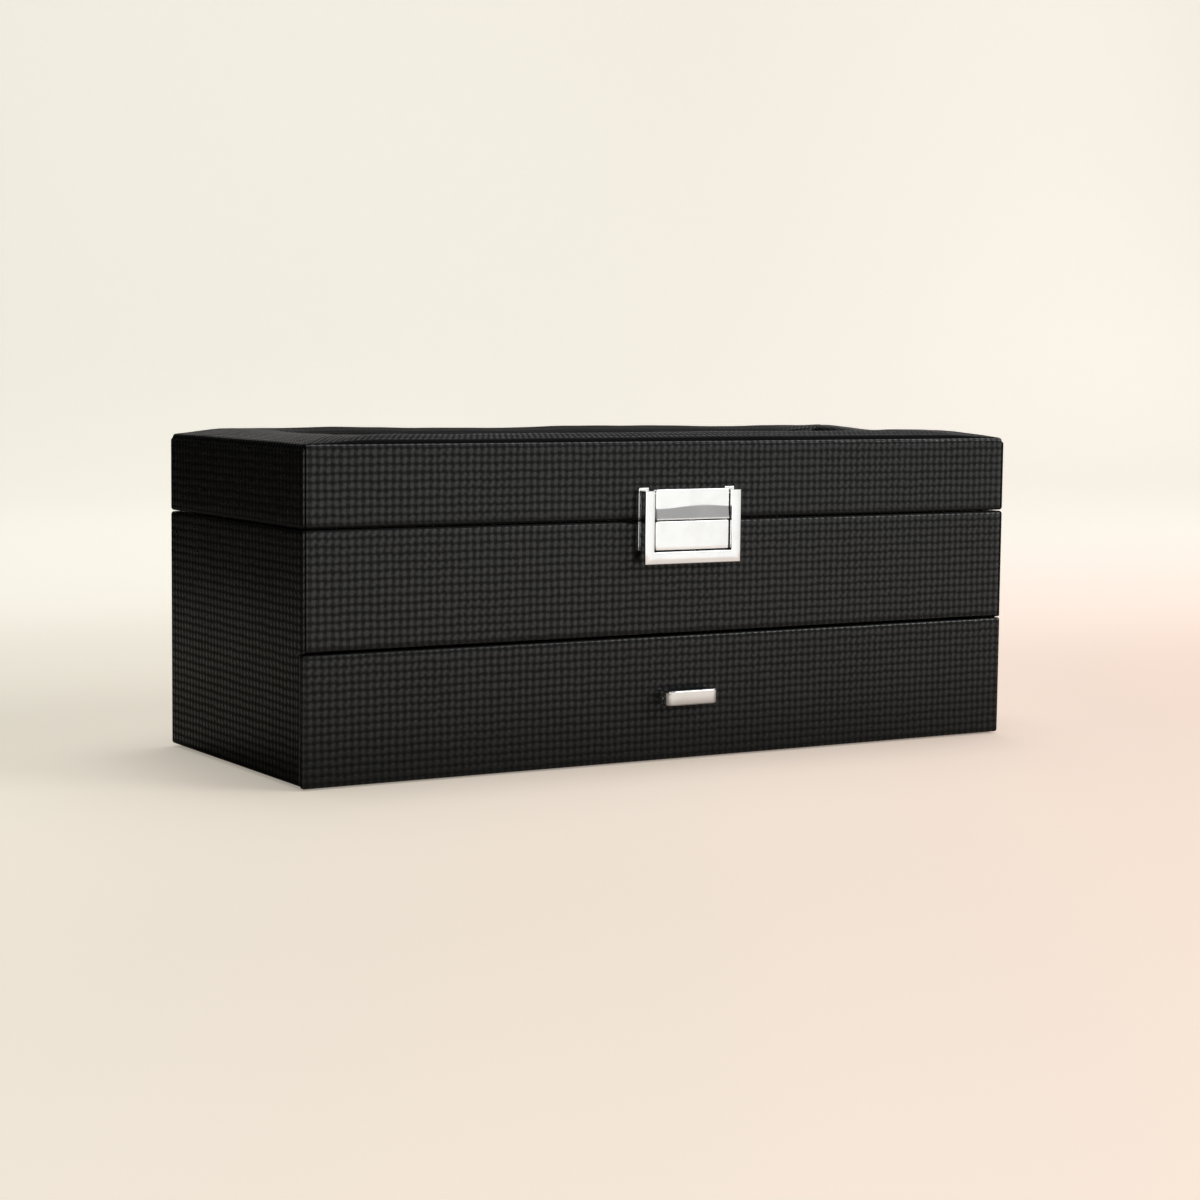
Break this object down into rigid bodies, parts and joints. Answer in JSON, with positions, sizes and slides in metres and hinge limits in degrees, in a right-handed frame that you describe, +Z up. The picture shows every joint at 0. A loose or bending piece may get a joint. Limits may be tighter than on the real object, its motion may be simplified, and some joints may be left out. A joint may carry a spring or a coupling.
{
  "type": "watch box with drawer",
  "caption": "Lidded watch box with a padded glazed lid, pillow slots, a hasp latch and a full-width drawer below, covered in woven-grain leatherette",
  "frame": {"origin": "centre of the box's plan, on the face of the base felt that it stands on", "axes": "+X along the length to the right as seen from the front, -Y out of the front, +Z up"},
  "size_m": [0.305, 0.1288, 0.1207],
  "materials": {
    "leatherette": "semi-matt woven grain",
    "padded_leatherette": "semi-matt woven grain over foam",
    "velvet": "short velvet pile",
    "pillow_velvet": "short velvet pile",
    "covered_board": "black paper-covered board",
    "felt": "black felt",
    "window_glass": "clear",
    "polished_chrome": "polished",
    "plated_steel": "bright plated"
  },
  "bodies": {
    "case": {"base_felt": "felt", "bottom_board": "covered_board", "left_side_panel": "leatherette", "right_side_panel": "leatherette", "back_panel": "leatherette", "upper_front_panel": "leatherette", "tray_floor": "covered_board", "tray_lining": "velvet", "slot_divider_1": "velvet", "slot_divider_2": "velvet", "slot_divider_3": "velvet", "slot_divider_4": "velvet", "slot_divider_5": "velvet", "watch_pillow_1": "pillow_velvet", "watch_pillow_2": "pillow_velvet", "watch_pillow_3": "pillow_velvet", "watch_pillow_4": "pillow_velvet", "watch_pillow_5": "pillow_velvet", "watch_pillow_6": "pillow_velvet", "latch_catch_plate": "polished_chrome", "latch_nails_case": "plated_steel", "left_hinge_case_leaf": "plated_steel", "right_hinge_case_leaf": "plated_steel", "hinge_pins": "plated_steel", "hinge_screws_case": "plated_steel"},
    "lid": {"lid_front_wall": "leatherette", "lid_back_wall": "leatherette", "lid_left_wall": "leatherette", "lid_right_wall": "leatherette", "lid_top_frame": "covered_board", "padded_rim": "padded_leatherette", "window_glass": "window_glass", "glass_retainer": "velvet", "lid_lining": "velvet", "latch_lid_plate": "polished_chrome", "latch_nails_lid": "plated_steel", "hasp_pin": "plated_steel", "left_hinge_lid_leaf": "plated_steel", "right_hinge_lid_leaf": "plated_steel", "hinge_screws_lid": "plated_steel"},
    "hasp": {"latch_hasp": "polished_chrome"},
    "drawer": {"drawer_front": "leatherette", "drawer_inner_front": "covered_board", "drawer_left_side": "covered_board", "drawer_right_side": "covered_board", "drawer_back": "covered_board", "drawer_floor": "covered_board", "drawer_lining": "velvet", "drawer_pull": "polished_chrome", "pull_screws": "plated_steel"}
  },
  "joints": [
    {"name": "lid_hinge", "type": "hinge", "parent": "case", "child": "lid", "pos_m": [0, 0.06075, 0.0893], "axis": [-1, 0, 0], "range_deg": [0, 100]},
    {"name": "hasp_pivot", "type": "hinge", "parent": "lid", "child": "hasp", "pos_m": [0.0017, -0.0624, 0.0991], "axis": [-1, 0, 0], "range_deg": [0, 105]},
    {"name": "drawer_slide", "type": "slide", "parent": "case", "child": "drawer", "axis": [0, -1, 0], "range_m": [0, 0.085]}
  ]
}
